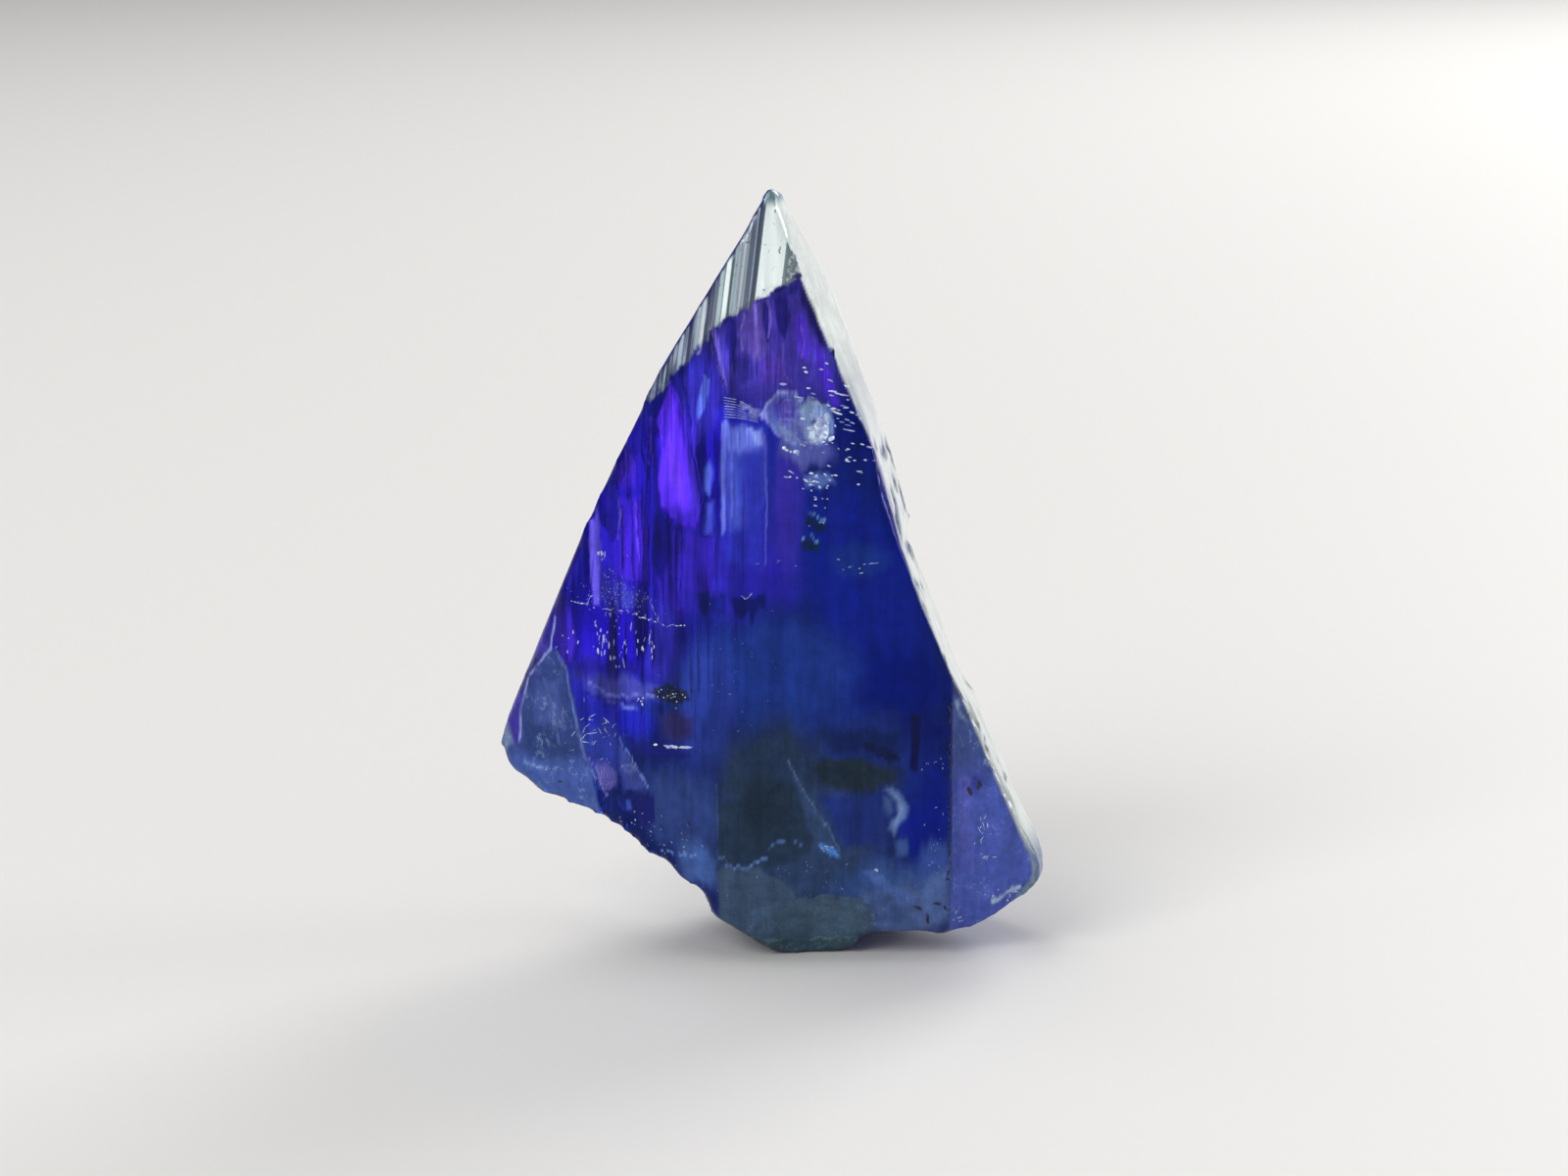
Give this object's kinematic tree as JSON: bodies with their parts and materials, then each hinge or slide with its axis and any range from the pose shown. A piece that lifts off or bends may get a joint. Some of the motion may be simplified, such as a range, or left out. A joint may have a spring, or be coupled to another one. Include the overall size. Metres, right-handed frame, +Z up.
{
  "type": "rough tanzanite crystal",
  "caption": "Broken shard of rough violet-blue tanzanite: a tall splintery triangle with a striated pale tip, a smooth side face and a small flat foot.",
  "frame": {"origin": "on the flat foot, near its middle, straight below the tip side of the shard", "axes": "+Z up along the crystal's long axis, -Y out of the broad broken front, +X to the right of someone who looks at that front"},
  "size_m": [0.0251, 0.0114, 0.0352],
  "materials": {
    "tanzanite": "clear violet-blue crystal with glassy broken faces, fine upright growth lines and frosted lower lobes"
  },
  "bodies": {
    "root": {"tanzanite_crystal": "tanzanite"}
  },
  "joints": []
}
